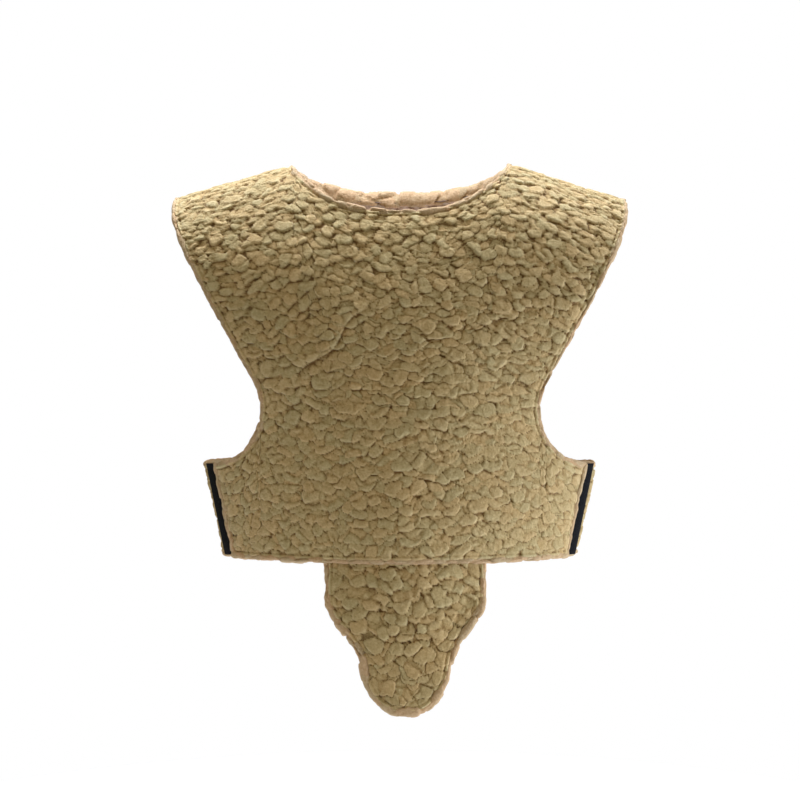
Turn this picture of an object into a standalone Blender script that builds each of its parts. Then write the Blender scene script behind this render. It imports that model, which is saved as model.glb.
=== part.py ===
"""Sleeveless chest and back vest of double pile fleece.

A front panel and a back panel meet along the shoulder ridges. Each panel has two
waist wings that overlap at the wearer's sides, where hook tape on the front wings
grips loop tape on the back wings. A shield-shaped tongue hangs from the front hem.

Metres, +Z up, the front faces -Y. The origin lies between the shoulders, at the
height of the neck ends of the shoulder ridges, where the vest rests on its wearer.
"""
import math

import bmesh
import bpy
from mathutils import Matrix, Vector

FRONT = -1.0
BACK = 1.0

# Shoulders, neck and armholes
TIP_HALF_WIDTH = 0.236
TIP_FALL = 0.038
TIP_EDGE_HEIGHT = 0.018
NECK_HALF_WIDTH = 0.112
NECK_FALL = {FRONT: 0.057, BACK: 0.024}
ARMHOLE_RADIUS = 0.057
ARMHOLE_CENTRE_X = 0.198
ARMHOLE_CENTRE_Z = -0.257
ARMHOLE_BOW = 0.005
ROOT_HALF_WIDTH = ARMHOLE_CENTRE_X - ARMHOLE_RADIUS

# Torso surface
CHEST_DEPTH = 0.118
WAIST_DEPTH_LOSS = 0.03
RIDGE_REACH = 0.200
UPPER_REACH = 0.420
UPPER_POWER = 2.3
WAIST_POWER = 1.7
WAIST_LEVEL = 0.300
HEM_FALL = 0.410

# Waist band
BAND_TOP = ARMHOLE_CENTRE_Z - ARMHOLE_RADIUS
BAND_HALF_WIDTH_TOP = 0.206
BAND_HALF_WIDTH_HEM = 0.186
FRONT_WING_END = 0.031
BACK_WING_END = 0.056
OVERLAP_STEP = 0.0174
STEP_BEGINS = 0.001
STEP_ENDS = 0.028

# Layers: how deep each starts under the outer surface, and how thick it is
PANEL_LAYERS = {
    "outer_fleece": (0.0, 0.0078),
    "interlining": (0.0094, 0.0016),
    "inner_fleece": (0.0126, 0.0060),
}
WING_LAYERS = {
    "outer_fleece": (0.0, 0.0058),
    "inner_fleece": (0.0070, 0.0038),
}
TONGUE_LAYERS = {
    "outer_fleece": (0.0, 0.0070),
    "inner_fleece": (0.0075, 0.0050),
}
SEAM_GAP = 0.0018
ROOT_GAP = 0.0010

# Closure tapes
TAPE_THICKNESS = 0.0016
TAPE_GAP = 0.0012
TAPE_MARGIN = 0.0015
HOOK_TAPE_START = 0.062
LOOP_TAPE_START = 0.050
LOOP_TAPE_END = 0.009

# Tongue
TONGUE_LENGTH = 0.146
TONGUE_HALF_WIDTH = 0.080
TONGUE_SHIFT = 0.006
TONGUE_TAPER = 0.44
TONGUE_TAPER_FROM = 0.26
TONGUE_TAPER_TO = 0.68
TONGUE_TIP_FROM = 0.62
TONGUE_SETBACK = 0.004
TONGUE_LEAN = math.tan(math.radians(9.0))
TONGUE_TOP = -HEM_FALL - 0.0012

# Sewing thread
THREAD_RADIUS = 0.0006
THREAD_LIFT = 0.0018
SEAM_INSET = 0.006

COLOURS = {
    "outer_fleece": (0.60, 0.50, 0.28),
    "inner_fleece": (0.62, 0.48, 0.36),
    "interlining": (0.70, 0.66, 0.56),
    "hook_tape": (0.010, 0.010, 0.011),
    "loop_tape": (0.014, 0.014, 0.016),
    "thread": (0.30, 0.22, 0.12),
}
ROUGHNESS = {
    "outer_fleece": 0.95,
    "inner_fleece": 0.95,
    "interlining": 0.9,
    "hook_tape": 0.55,
    "loop_tape": 0.85,
    "thread": 0.7,
}


# ---------------------------------------------------------------- scene helpers

def clear_scene():
    for item in list(bpy.data.objects):
        bpy.data.objects.remove(item, do_unlink=True)


def new_collection(name):
    collection = bpy.data.collections.new(name)
    bpy.context.scene.collection.children.link(collection)
    return collection


def make_material(name, kind):
    material = bpy.data.materials.new(name)
    material.use_nodes = True
    shader = material.node_tree.nodes["Principled BSDF"]
    shader.inputs["Base Color"].default_value = (*COLOURS[kind], 1.0)
    shader.inputs["Roughness"].default_value = ROUGHNESS[kind]
    shader.inputs["Metallic"].default_value = 0.0
    return material


def make_pivot(collection, name, location):
    """An empty on a joint's axis, which carries the pieces that turn about it."""
    pivot = bpy.data.objects.new(name, None)
    pivot.empty_display_size = 0.03
    pivot.location = location
    collection.objects.link(pivot)
    return pivot


def attach(piece, pivot):
    if pivot is not None:
        piece.parent = pivot
        piece.matrix_parent_inverse = Matrix.Translation(-pivot.location)


# ---------------------------------------------------------------- torso surface

def smooth(value):
    value = min(max(value, 0.0), 1.0)
    return value * value * (3.0 - 2.0 * value)


def blend(first, second, share):
    return first + (second - first) * share


def ridge_fall(x):
    """How far the shoulder ridge lies below its neck end, at x from the centre."""
    share = (abs(x) - NECK_HALF_WIDTH) / (TIP_HALF_WIDTH - NECK_HALF_WIDTH)
    softening = 0.12
    return TIP_FALL * (math.hypot(share, softening) + share) / (math.hypot(1.0, softening) + 1.0)


def height(x, fall):
    """Height of a point that lies a given fall below the shoulder ridge."""
    return -fall - ridge_fall(x) * (1.0 - smooth(fall / RIDGE_REACH))


def profile_depth(fall):
    """Depth of the surface on the centre line, from the ridge down to the hem."""
    rise = 1.0 - min(fall / RIDGE_REACH, 1.0)
    loss = WAIST_DEPTH_LOSS * smooth((fall - RIDGE_REACH) / (HEM_FALL - RIDGE_REACH))
    return CHEST_DEPTH * math.sqrt(max(1.0 - rise ** 2.2, 0.0)) * (1.0 - loss)


def side_reach(z):
    """Half-width at which the outline, seen from above, closes at height z."""
    share = (BAND_TOP - z) / (HEM_FALL + BAND_TOP)
    band = blend(BAND_HALF_WIDTH_TOP, BAND_HALF_WIDTH_HEM, min(max(share, 0.0), 1.0))
    return blend(UPPER_REACH, band, smooth(-z / WAIST_LEVEL))


def outline_power(z):
    return blend(UPPER_POWER, WAIST_POWER, smooth(-z / WAIST_LEVEL))


def panel_surface(side, x, fall):
    z = height(x, fall)
    power = outline_power(z)
    share = min(abs(x) / side_reach(z), 1.0)
    depth = profile_depth(fall) * (1.0 - share ** power) ** (1.0 / power)
    return Vector((x, side * depth, z))


def inset_point(surface, u, v, inset, outward):
    """A point under surface(u, v), along the surface's normal there."""
    step = 0.0008
    across = surface(u + step, v) - surface(u - step, v)
    down = surface(u, v + step) - surface(u, v - step)
    normal = across.cross(down).normalized()
    if normal.dot(outward) < 0.0:
        normal.negate()
    return surface(u, v) - normal * inset


def inset_panel_surface(side, x, fall, inset):
    """A point under a panel's surface, held clear of the shoulder seam's plane."""

    def surface(place, root):
        return panel_surface(side, place, root ** 2)

    root = max(math.sqrt(fall), 0.002)
    point = inset_point(surface, x, root, inset, Vector((0.0, side, 0.05)))
    point.y = side * max(point.y * side, SEAM_GAP)
    return point


def armhole_tangent():
    """Where the straight part of the armhole meets its round lower end."""
    start = Vector((TIP_HALF_WIDTH - 0.002, -TIP_FALL - TIP_EDGE_HEIGHT))
    centre = Vector((ARMHOLE_CENTRE_X, ARMHOLE_CENTRE_Z))
    reach = start - centre
    angle = math.atan2(reach.y, reach.x) + math.acos(ARMHOLE_RADIUS / reach.length)
    touch = centre + ARMHOLE_RADIUS * Vector((math.cos(angle), math.sin(angle)))
    return start, touch


ARMHOLE_START, ARMHOLE_TOUCH = armhole_tangent()


def half_width(z):
    """Half-width of a main panel: shoulder tip, armhole, then the wing's root."""
    if z >= ARMHOLE_START.y:
        share = (z - ARMHOLE_START.y) / TIP_EDGE_HEIGHT
        return blend(ARMHOLE_START.x, TIP_HALF_WIDTH, min(share, 1.0))
    if z >= ARMHOLE_TOUCH.y:
        share = (ARMHOLE_START.y - z) / (ARMHOLE_START.y - ARMHOLE_TOUCH.y)
        bow = ARMHOLE_BOW * math.sin(math.pi * share ** 0.7)
        return blend(ARMHOLE_START.x, ARMHOLE_TOUCH.x, share) + bow
    if z >= ARMHOLE_CENTRE_Z:
        rise = z - ARMHOLE_CENTRE_Z
        return ARMHOLE_CENTRE_X - math.sqrt(ARMHOLE_RADIUS ** 2 - rise ** 2)
    return ROOT_HALF_WIDTH


def neck_edge_fall(side, x):
    share = min(abs(x) / NECK_HALF_WIDTH, 1.0)
    return NECK_FALL[side] * (1.0 - share ** 2.5) ** 0.8


def panel_position(side, across, down):
    """Place on a main panel: across from -1 to 1, down from 0 at the top to 1."""
    x = across * TIP_HALF_WIDTH
    top = neck_edge_fall(side, x)
    fall = top + (HEM_FALL - top) * down ** 2
    for _ in range(5):
        x = across * (half_width(height(x, fall)) - ROOT_GAP)
    return x, fall


# ---------------------------------------------------------------- waist wings

def wing_top(x):
    """Height of a wing's top edge, which carries on the armhole's round end."""
    reach = max(ARMHOLE_CENTRE_X - x, 0.0)
    return ARMHOLE_CENTRE_Z - math.sqrt(max(ARMHOLE_RADIUS ** 2 - reach ** 2, 0.0))


def angle_at_x(x, z):
    return math.asin((x / side_reach(z)) ** (outline_power(z) / 2.0))


def angle_at_depth(depth, z):
    """Angle round the outline at a signed depth, which is negative past the side."""
    share = abs(depth) / profile_depth(-z)
    angle = math.acos(share ** (outline_power(z) / 2.0))
    return angle if depth >= 0.0 else math.pi - angle


def outline_point(side, angle, z):
    power = 2.0 / outline_power(z)
    depth = profile_depth(-z) * abs(math.cos(angle)) ** power
    if angle > math.pi / 2.0:
        depth = -depth
    return Vector((side_reach(z) * math.sin(angle) ** power, side * depth, z))


def wing_path(side, angle, z):
    """The outline, stepped inwards where a back wing passes under a front wing."""
    point = outline_point(side, angle, z)
    if side == FRONT:
        return point
    step = 0.002
    along = outline_point(side, angle + step, z) - outline_point(side, angle - step, z)
    normal = Vector((-along.y, along.x, 0.0)).normalized()
    share = (STEP_BEGINS - point.y) / (STEP_BEGINS + STEP_ENDS)
    return point - normal * OVERLAP_STEP * smooth(share)


def wing_surface(hand, side, angle, z, inset):

    def surface(turn, level):
        return wing_path(side, turn, level)

    point = inset_point(surface, angle, z, inset, Vector((1.0, side * 0.2, 0.0)))
    return Vector((hand * point.x, point.y, point.z))


def wing_point(hand, side, along, down, inset):
    """Place on a wing: along from its root to its free end, down from top to hem."""
    end = FRONT_WING_END if side == FRONT else -BACK_WING_END
    level_angle = blend(angle_at_x(ROOT_HALF_WIDTH + ROOT_GAP, BAND_TOP),
                        angle_at_depth(end, BAND_TOP), along)
    level = outline_point(side, level_angle, BAND_TOP)
    past_side = level_angle > math.pi / 2.0
    top = BAND_TOP if past_side else wing_top(level.x)
    z = blend(top, -HEM_FALL, down)
    angle = blend(angle_at_x(ROOT_HALF_WIDTH + ROOT_GAP, z), angle_at_depth(end, z), along)
    return wing_surface(hand, side, angle, z, inset)


# ---------------------------------------------------------------- tongue

def tongue_half_width(share):
    """A shield: straight sides, a taper to a narrower lobe, then a round tip."""
    taper = smooth((share - TONGUE_TAPER_FROM) / (TONGUE_TAPER_TO - TONGUE_TAPER_FROM))
    tip = max(share - TONGUE_TIP_FROM, 0.0) / (1.0 - TONGUE_TIP_FROM)
    return TONGUE_HALF_WIDTH * (1.0 - TONGUE_TAPER * taper) * math.sqrt(1.0 - tip ** 2.2)


def tongue_surface(x, fall):
    bend = (1.0 - (abs(x) / BAND_HALF_WIDTH_HEM) ** WAIST_POWER) ** (1.0 / WAIST_POWER)
    depth = profile_depth(HEM_FALL) * bend - TONGUE_SETBACK
    return Vector((x, -depth - TONGUE_LEAN * fall, TONGUE_TOP - fall))


def tongue_point(across, down, inset):
    share = min(down, 0.985)
    x = TONGUE_SHIFT + across * tongue_half_width(share)
    return inset_point(tongue_surface, x, share * TONGUE_LENGTH, inset, Vector((0.0, FRONT, 0.0)))


# ---------------------------------------------------------------- solids

def make_sheet(collection, name, point, columns, rows, thickness, outward, material):
    """A grid laid on a surface by point(u, v), u and v from 0 to 1, and thickened."""
    bm = bmesh.new()
    bmesh.ops.create_grid(bm, x_segments=columns, y_segments=rows, size=1.0)
    for vertex in bm.verts:
        vertex.co = point((vertex.co.x + 1.0) / 2.0, (vertex.co.y + 1.0) / 2.0)
    bm.normal_update()
    total = sum((face.normal for face in bm.faces), Vector())
    if total.dot(outward) < 0.0:
        bmesh.ops.reverse_faces(bm, faces=bm.faces)
    mesh = bpy.data.meshes.new(name)
    bm.to_mesh(mesh)
    bm.free()
    mesh.shade_smooth()
    mesh.materials.append(material)
    piece = bpy.data.objects.new(name, mesh)
    collection.objects.link(piece)
    shell = piece.modifiers.new("thickness", "SOLIDIFY")
    shell.thickness = thickness
    shell.offset = -1.0
    return piece


def make_thread(collection, name, points, material):
    """A run of sewing thread: a poly curve with a round bevel and closed ends."""
    curve = bpy.data.curves.new(name, "CURVE")
    curve.dimensions = "3D"
    curve.bevel_depth = THREAD_RADIUS
    curve.bevel_resolution = 1
    curve.use_fill_caps = True
    spline = curve.splines.new("POLY")
    spline.points.add(len(points) - 1)
    for target, point in zip(spline.points, points):
        target.co = (*point, 1.0)
    curve.materials.append(material)
    piece = bpy.data.objects.new(name, curve)
    collection.objects.link(piece)
    return piece


def steps(first, last, count):
    return [blend(first, last, index / count) for index in range(count + 1)]


# ---------------------------------------------------------------- sub-parts

def column_place(share):
    """Columns across a main panel: one on each neck end of a ridge, and closer there."""
    neck = NECK_HALF_WIDTH / TIP_HALF_WIDTH
    signed = share * 2.0 - 1.0
    inner_share = 0.625
    if abs(signed) <= inner_share:
        return math.sin(signed / inner_share * math.pi / 2.0) * neck
    outer = (abs(signed) - inner_share) / (1.0 - inner_share)
    return math.copysign(blend(neck, 1.0, outer), signed)


def build_panel(collection, word, side, pivot):
    for layer, (inset, thickness) in PANEL_LAYERS.items():
        name = f"{word}_{layer}"

        def point(u, v, inset=inset):
            x, fall = panel_position(side, column_place(u), v)
            return inset_panel_surface(side, x, fall, inset)

        piece = make_sheet(collection, name, point, 16, 15, thickness,
                           Vector((0.0, side, 0.0)), make_material(name, layer))
        attach(piece, pivot)


def build_wings(collection, word, side, pivots):
    columns = 6 if side == FRONT else 12
    for hand_word, hand in (("left", -1.0), ("right", 1.0)):
        for layer, (inset, thickness) in WING_LAYERS.items():
            name = f"{word}_wing_{hand_word}_{layer}"

            def point(u, v, hand=hand, inset=inset):
                return wing_point(hand, side, u, v, inset)

            piece = make_sheet(collection, name, point, columns, 4, thickness,
                               Vector((hand, side, 0.0)), make_material(name, layer))
            attach(piece, pivots[hand_word])


def build_tapes(collection, pivots, back_pivot):
    """Hook tape under the front wings, loop tape on the back wings."""
    wing_thickness = sum(WING_LAYERS["inner_fleece"]) + TAPE_GAP
    top = BAND_TOP - TAPE_MARGIN
    bottom = -HEM_FALL + TAPE_MARGIN
    for hand_word, hand in (("left", -1.0), ("right", 1.0)):

        def hook_point(u, v, hand=hand):
            z = blend(top, bottom, v)
            first = angle_at_depth(HOOK_TAPE_START, z)
            last = angle_at_depth(FRONT_WING_END + TAPE_MARGIN, z)
            return wing_surface(hand, FRONT, blend(first, last, u), z, wing_thickness)

        def loop_point(u, v, hand=hand):
            z = blend(top, bottom, v)
            first = angle_at_depth(-LOOP_TAPE_END, z)
            last = angle_at_depth(-LOOP_TAPE_START, z)
            return wing_surface(hand, BACK, blend(first, last, u), z,
                                -TAPE_THICKNESS - TAPE_GAP)

        name = f"hook_tape_{hand_word}"
        hook = make_sheet(collection, name, hook_point, 5, 4, TAPE_THICKNESS,
                          Vector((hand, FRONT, 0.0)), make_material(name, "hook_tape"))
        attach(hook, pivots[hand_word])
        name = f"loop_tape_{hand_word}"
        loop = make_sheet(collection, name, loop_point, 9, 4, TAPE_THICKNESS,
                          Vector((hand, FRONT, 0.0)), make_material(name, "loop_tape"))
        attach(loop, back_pivot)


def build_tongue(collection, pivot):
    for layer, (inset, thickness) in TONGUE_LAYERS.items():
        name = f"tongue_{layer}"

        def point(u, v, inset=inset):
            return tongue_point(u * 2.0 - 1.0, v, inset)

        piece = make_sheet(collection, name, point, 8, 10, thickness,
                           Vector((0.0, FRONT, 0.0)), make_material(name, layer))
        attach(piece, pivot)


def build_panel_threads(collection, word, side, pivot):
    """Seams along the neck, the hem and both armholes, just inside the edges."""
    runs = {}
    neck_half = NECK_HALF_WIDTH - 2.0 * SEAM_INSET
    runs["neck"] = [(x, neck_edge_fall(side, x) + SEAM_INSET)
                    for x in steps(-neck_half, neck_half, 24)]
    hem_half = ROOT_HALF_WIDTH - SEAM_INSET
    runs["hem"] = [(x, HEM_FALL - SEAM_INSET) for x in steps(-hem_half, hem_half, 16)]
    for hand_word, hand in (("left", -1.0), ("right", 1.0)):
        run = []
        for down in steps(0.10, 0.76, 16):
            x, fall = panel_position(side, hand, down)
            run.append((x - hand * SEAM_INSET, fall))
        runs[f"armhole_{hand_word}"] = run
    for place, run in runs.items():
        name = f"{word}_{place}_thread"
        points = [inset_panel_surface(side, x, fall, -THREAD_LIFT) for x, fall in run]
        attach(make_thread(collection, name, points, make_material(name, "thread")), pivot)


def build_wing_threads(collection, word, side, pivots):
    """One seam round each wing: top edge, free end and hem."""
    for hand_word, hand in (("left", -1.0), ("right", 1.0)):
        last = 0.93 if side == FRONT else 0.46
        edge = [(along, 0.06) for along in steps(0.08, last, 8)]
        if side == FRONT:
            edge += [(last, down) for down in steps(0.20, 0.80, 4)]
            edge += [(along, 0.94) for along in steps(last, 0.08, 8)]
        name = f"{word}_wing_{hand_word}_thread"
        points = [wing_point(hand, side, along, down, -THREAD_LIFT) for along, down in edge]
        piece = make_thread(collection, name, points, make_material(name, "thread"))
        attach(piece, pivots[hand_word])


def build_tongue_thread(collection, pivot):
    name = "tongue_thread"
    edge = [(-0.90, down) for down in steps(0.04, 0.86, 12)]
    edge += [(across, 0.93) for across in steps(-0.5, 0.5, 4)]
    edge += [(0.90, down) for down in steps(0.86, 0.04, 12)]
    points = [tongue_point(across, down, -THREAD_LIFT) for across, down in edge]
    attach(make_thread(collection, name, points, make_material(name, "thread")), pivot)


def build_vest():
    clear_scene()
    vest = new_collection("pile_fleece_vest")

    root_top = panel_surface(FRONT, ROOT_HALF_WIDTH, -ARMHOLE_CENTRE_Z)
    root_low = panel_surface(FRONT, ROOT_HALF_WIDTH, HEM_FALL)
    front_pivots = {}
    for hand_word, hand in (("left", -1.0), ("right", 1.0)):
        middle = (root_top + root_low) / 2.0
        middle.x *= hand
        front_pivots[hand_word] = make_pivot(vest, f"front_wing_{hand_word}_pivot", middle)
    back_pivot = make_pivot(vest, "back_pivot", Vector((0.0, 0.0, 0.0)))
    back_pivots = {"left": back_pivot, "right": back_pivot}
    tongue_front = tongue_point(0.0, 0.0, 0.0)
    tongue_pivot = make_pivot(vest, "tongue_pivot", Vector((0.0, tongue_front.y, TONGUE_TOP)))

    build_panel(vest, "front", FRONT, None)
    build_panel(vest, "back", BACK, back_pivot)
    build_wings(vest, "front", FRONT, front_pivots)
    build_wings(vest, "back", BACK, back_pivots)
    build_tapes(vest, front_pivots, back_pivot)
    build_tongue(vest, tongue_pivot)
    build_panel_threads(vest, "front", FRONT, None)
    build_panel_threads(vest, "back", BACK, back_pivot)
    build_wing_threads(vest, "front", FRONT, front_pivots)
    build_wing_threads(vest, "back", BACK, back_pivots)
    build_tongue_thread(vest, tongue_pivot)


build_vest()
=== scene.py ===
"""The pile fleece vest's looks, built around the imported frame.

The outer pile is one numbered cloth, cut into the panels and wings that the frame
names, so that the curls run on across the cuts. Linings, turned edges, stitching
and closure tapes are pieces of their own.
"""

import math

import bpy
import numpy as np
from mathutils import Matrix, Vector
from mathutils.kdtree import KDTree


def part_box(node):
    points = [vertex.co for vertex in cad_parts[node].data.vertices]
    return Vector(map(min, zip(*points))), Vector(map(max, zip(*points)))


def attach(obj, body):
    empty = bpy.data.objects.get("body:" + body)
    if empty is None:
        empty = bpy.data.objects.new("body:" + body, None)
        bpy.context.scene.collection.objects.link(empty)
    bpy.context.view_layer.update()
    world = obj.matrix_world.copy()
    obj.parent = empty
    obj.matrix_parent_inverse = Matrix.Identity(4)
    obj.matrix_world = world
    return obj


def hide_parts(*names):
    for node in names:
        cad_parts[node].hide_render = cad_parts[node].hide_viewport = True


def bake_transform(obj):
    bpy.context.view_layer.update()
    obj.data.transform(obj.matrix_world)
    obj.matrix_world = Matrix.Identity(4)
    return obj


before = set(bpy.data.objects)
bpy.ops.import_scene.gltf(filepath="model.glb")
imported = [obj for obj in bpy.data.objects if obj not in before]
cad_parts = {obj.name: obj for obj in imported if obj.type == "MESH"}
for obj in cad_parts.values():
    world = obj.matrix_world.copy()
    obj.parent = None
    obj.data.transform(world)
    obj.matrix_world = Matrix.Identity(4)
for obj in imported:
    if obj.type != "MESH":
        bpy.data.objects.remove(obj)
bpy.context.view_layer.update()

FRONT, BACK = -1.0, 1.0
HANDS = (("left", -1.0), ("right", 1.0))
SIDES = (("front", FRONT), ("back", BACK))

# The frame's own sizes
panel_low, panel_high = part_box("front_outer_fleece")
tongue_low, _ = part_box("tongue_outer_fleece")
ROOT_GAP = 0.0010
TIP_HALF_WIDTH = round(panel_high.x + ROOT_GAP, 3)
HEM_FALL = round(-panel_low.z, 3)
CHEST_DEPTH = round(-panel_low.y, 3)

# The rest of the design's dimensions
TIP_FALL = 0.038
TIP_EDGE_HEIGHT = 0.018
NECK_HALF_WIDTH = 0.112
NECK_FALL = {FRONT: 0.057, BACK: 0.024}
ARMHOLE_RADIUS = 0.057
ARMHOLE_CENTRE_X = 0.198
ARMHOLE_CENTRE_Z = -0.257
ARMHOLE_BOW = 0.005
ROOT_HALF_WIDTH = ARMHOLE_CENTRE_X - ARMHOLE_RADIUS
WAIST_DEPTH_LOSS = 0.03
RIDGE_REACH = 0.200
UPPER_REACH = 0.420
UPPER_POWER = 2.3
WAIST_POWER = 1.7
WAIST_LEVEL = 0.300
BAND_TOP = ARMHOLE_CENTRE_Z - ARMHOLE_RADIUS
BAND_HALF_WIDTH_TOP = 0.206
BAND_HALF_WIDTH_HEM = 0.186
WING_END = {FRONT: 0.031, BACK: -0.056}
OVERLAP_STEP = 0.0174
STEP_BEGINS = 0.001
STEP_ENDS = 0.028
TONGUE_LENGTH = 0.146
TONGUE_HALF_WIDTH = 0.080
TONGUE_SHIFT = 0.006
TONGUE_TAPER = 0.44
TONGUE_TAPER_FROM = 0.26
TONGUE_TAPER_TO = 0.68
TONGUE_TIP_FROM = 0.62
TONGUE_SETBACK = 0.004
TONGUE_LEAN = math.tan(math.radians(9.0))
TONGUE_TOP = -HEM_FALL - 0.0012

# Layers, as depths under the outer surface
PANEL_BACKING = 0.0070
PANEL_INTERLINING = (0.0094, 0.0108)
PANEL_LINING = (0.0126, 0.0176)
WING_BACKING = 0.0054
WING_LINING = (0.0070, 0.0104)
TONGUE_BACKING = 0.0066
TONGUE_LINING = (0.0078, 0.0118)
SEAM_INSET = 0.0062
LINING_STEP = 2
TONGUE_TUCK = 0.0035

# Closure tapes
WING_CAD_DEPTH = 0.0108
TAPE_THICKNESS = 0.0016
TAPE_GAP = 0.0012
TAPE_MARGIN = 0.0015
HOOK_TAPE_START = 0.062
LOOP_TAPE_START = 0.050
LOOP_TAPE_END = 0.009
TAPE_SELVEDGE = 0.0015
LOOP_TAPE_EDGE = -0.0065
TAPE_ROWS = 60
HOOK_TAPE_COLUMNS = 24
LOOP_TAPE_COLUMNS = 28
HEM_CLEARANCE = 0.001

# The pile's flakes, with heights and line depths where it is loose and where it is pressed
FLAKE = (0.0106, 0.0092)
FLAKE_HEIGHT = (0.0018, 0.0013)
LINE_DEPTH = (0.0009, 0.0008)
SMALL_FLAKE = (0.0056, 0.0048)
SHORTEST_LINING = -0.0012

# Turned edges and stitches
CORNER_ROUNDING = 0.0045
ROLL_STEP = 0.0013
STITCH_STEP = 0.0007
STITCH_LENGTH = 0.0036
THREAD_RADIUS = 0.00040
PANEL_SEAM_DEPTH = -0.0044
TONGUE_SEAM_DEPTH = -0.0040
NECK_ROLL = {"width": 0.0038, "shift": 0.0021, "swell": 0.0034, "size": 0.0135, "seed": 71,
             "ends": 0.0022}
TONGUE_ROLL = {"width": 0.0036, "shift": 0.0019, "swell": 0.0032, "size": 0.0150, "seed": 83}

# Grid steps
UPPER_ROWS = 264
LOWER_ROWS = 128
NECK_COLUMNS = 104
RIDGE_COLUMNS = 72
ARC_COLUMNS = 56
BACK_BAND_COLUMNS = 88
TONGUE_COLUMNS = 152
TONGUE_ROWS = 140
COARSE = 4


# ---- small helpers

def smooth(value):
    value = np.clip(value, 0.0, 1.0)
    return value * value * (3.0 - 2.0 * value)


def blend(first, second, share):
    return first + (second - first) * share


def unit(vectors):
    length = np.linalg.norm(vectors, axis=-1, keepdims=True)
    return vectors / np.maximum(length, 1e-12)


def run_length(points):
    """Distance along a run of points, or along each row of a grid."""
    steps = np.linalg.norm(np.diff(points, axis=-2), axis=-1)
    return np.concatenate([steps[..., :1] * 0.0, np.cumsum(steps, axis=-1)], axis=-1)


def distances(points, outline):
    """How far each point lies from the nearest point of an outline."""
    tree = KDTree(len(outline))
    for index, point in enumerate(outline):
        tree.insert(point, index)
    tree.balance()
    return np.array([tree.find(point)[2] for point in points])


# ---- torso surface

def ridge_fall(x):
    share = (np.abs(x) - NECK_HALF_WIDTH) / (TIP_HALF_WIDTH - NECK_HALF_WIDTH)
    softening = 0.12
    return TIP_FALL * (np.hypot(share, softening) + share) / (math.hypot(1.0, softening) + 1.0)


def height(x, fall):
    return -fall - ridge_fall(x) * (1.0 - smooth(fall / RIDGE_REACH))


def profile_depth(fall):
    rise = 1.0 - np.minimum(fall / RIDGE_REACH, 1.0)
    loss = WAIST_DEPTH_LOSS * smooth((fall - RIDGE_REACH) / (HEM_FALL - RIDGE_REACH))
    return CHEST_DEPTH * np.sqrt(np.maximum(1.0 - rise ** 2.2, 0.0)) * (1.0 - loss)


def side_reach(z):
    share = np.clip((BAND_TOP - z) / (HEM_FALL + BAND_TOP), 0.0, 1.0)
    band = blend(BAND_HALF_WIDTH_TOP, BAND_HALF_WIDTH_HEM, share)
    return blend(UPPER_REACH, band, smooth(-z / WAIST_LEVEL))


def outline_power(z):
    return blend(UPPER_POWER, WAIST_POWER, smooth(-z / WAIST_LEVEL))


def panel_surface(side, x, fall):
    z = height(x, fall)
    power = outline_power(z)
    share = np.minimum(np.abs(x) / side_reach(z), 1.0)
    depth = profile_depth(fall) * (1.0 - share ** power) ** (1.0 / power)
    return np.stack([x, side * depth, z], axis=-1)


def armhole_tangent():
    """Where the straight part of the armhole meets its round lower end."""
    start = Vector((TIP_HALF_WIDTH - 0.002, -TIP_FALL - TIP_EDGE_HEIGHT))
    centre = Vector((ARMHOLE_CENTRE_X, ARMHOLE_CENTRE_Z))
    reach = start - centre
    angle = math.atan2(reach.y, reach.x) + math.acos(ARMHOLE_RADIUS / reach.length)
    return start, centre + ARMHOLE_RADIUS * Vector((math.cos(angle), math.sin(angle)))


ARMHOLE_START, ARMHOLE_TOUCH = armhole_tangent()


def half_width(z):
    """Half-width of a main panel: shoulder tip, armhole, then the wing's root."""
    tip = blend(ARMHOLE_START.x, TIP_HALF_WIDTH,
                np.minimum((z - ARMHOLE_START.y) / TIP_EDGE_HEIGHT, 1.0))
    share = (ARMHOLE_START.y - z) / (ARMHOLE_START.y - ARMHOLE_TOUCH.y)
    bow = ARMHOLE_BOW * np.sin(math.pi * np.clip(share, 0.0, 1.0) ** 0.7)
    straight = blend(ARMHOLE_START.x, ARMHOLE_TOUCH.x, share) + bow
    rise = np.clip(z - ARMHOLE_CENTRE_Z, 0.0, ARMHOLE_RADIUS)
    arc = ARMHOLE_CENTRE_X - np.sqrt(ARMHOLE_RADIUS ** 2 - rise ** 2)
    return np.select([z >= ARMHOLE_START.y, z >= ARMHOLE_TOUCH.y, z >= ARMHOLE_CENTRE_Z],
                     [tip, straight, arc], ROOT_HALF_WIDTH)


def neck_edge_fall(side, x):
    share = np.minimum(np.abs(x) / NECK_HALF_WIDTH, 1.0)
    return NECK_FALL[side] * (1.0 - share ** 2.5) ** 0.8


def wing_top(x):
    reach = np.clip(ARMHOLE_CENTRE_X - x, 0.0, ARMHOLE_RADIUS)
    return ARMHOLE_CENTRE_Z - np.sqrt(ARMHOLE_RADIUS ** 2 - reach ** 2)


def angle_at_x(x, z):
    return np.arcsin((x / side_reach(z)) ** (outline_power(z) / 2.0))


def angle_at_depth(depth, z):
    share = abs(depth) / profile_depth(-z)
    angle = np.arccos(share ** (outline_power(z) / 2.0))
    return angle if depth >= 0.0 else math.pi - angle


def outline_point(side, angle, z):
    power = 2.0 / outline_power(z)
    depth = profile_depth(-z) * np.abs(np.cos(angle)) ** power * np.sign(np.cos(angle))
    return np.stack([side_reach(z) * np.sin(angle) ** power, side * depth, z], axis=-1)


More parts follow.
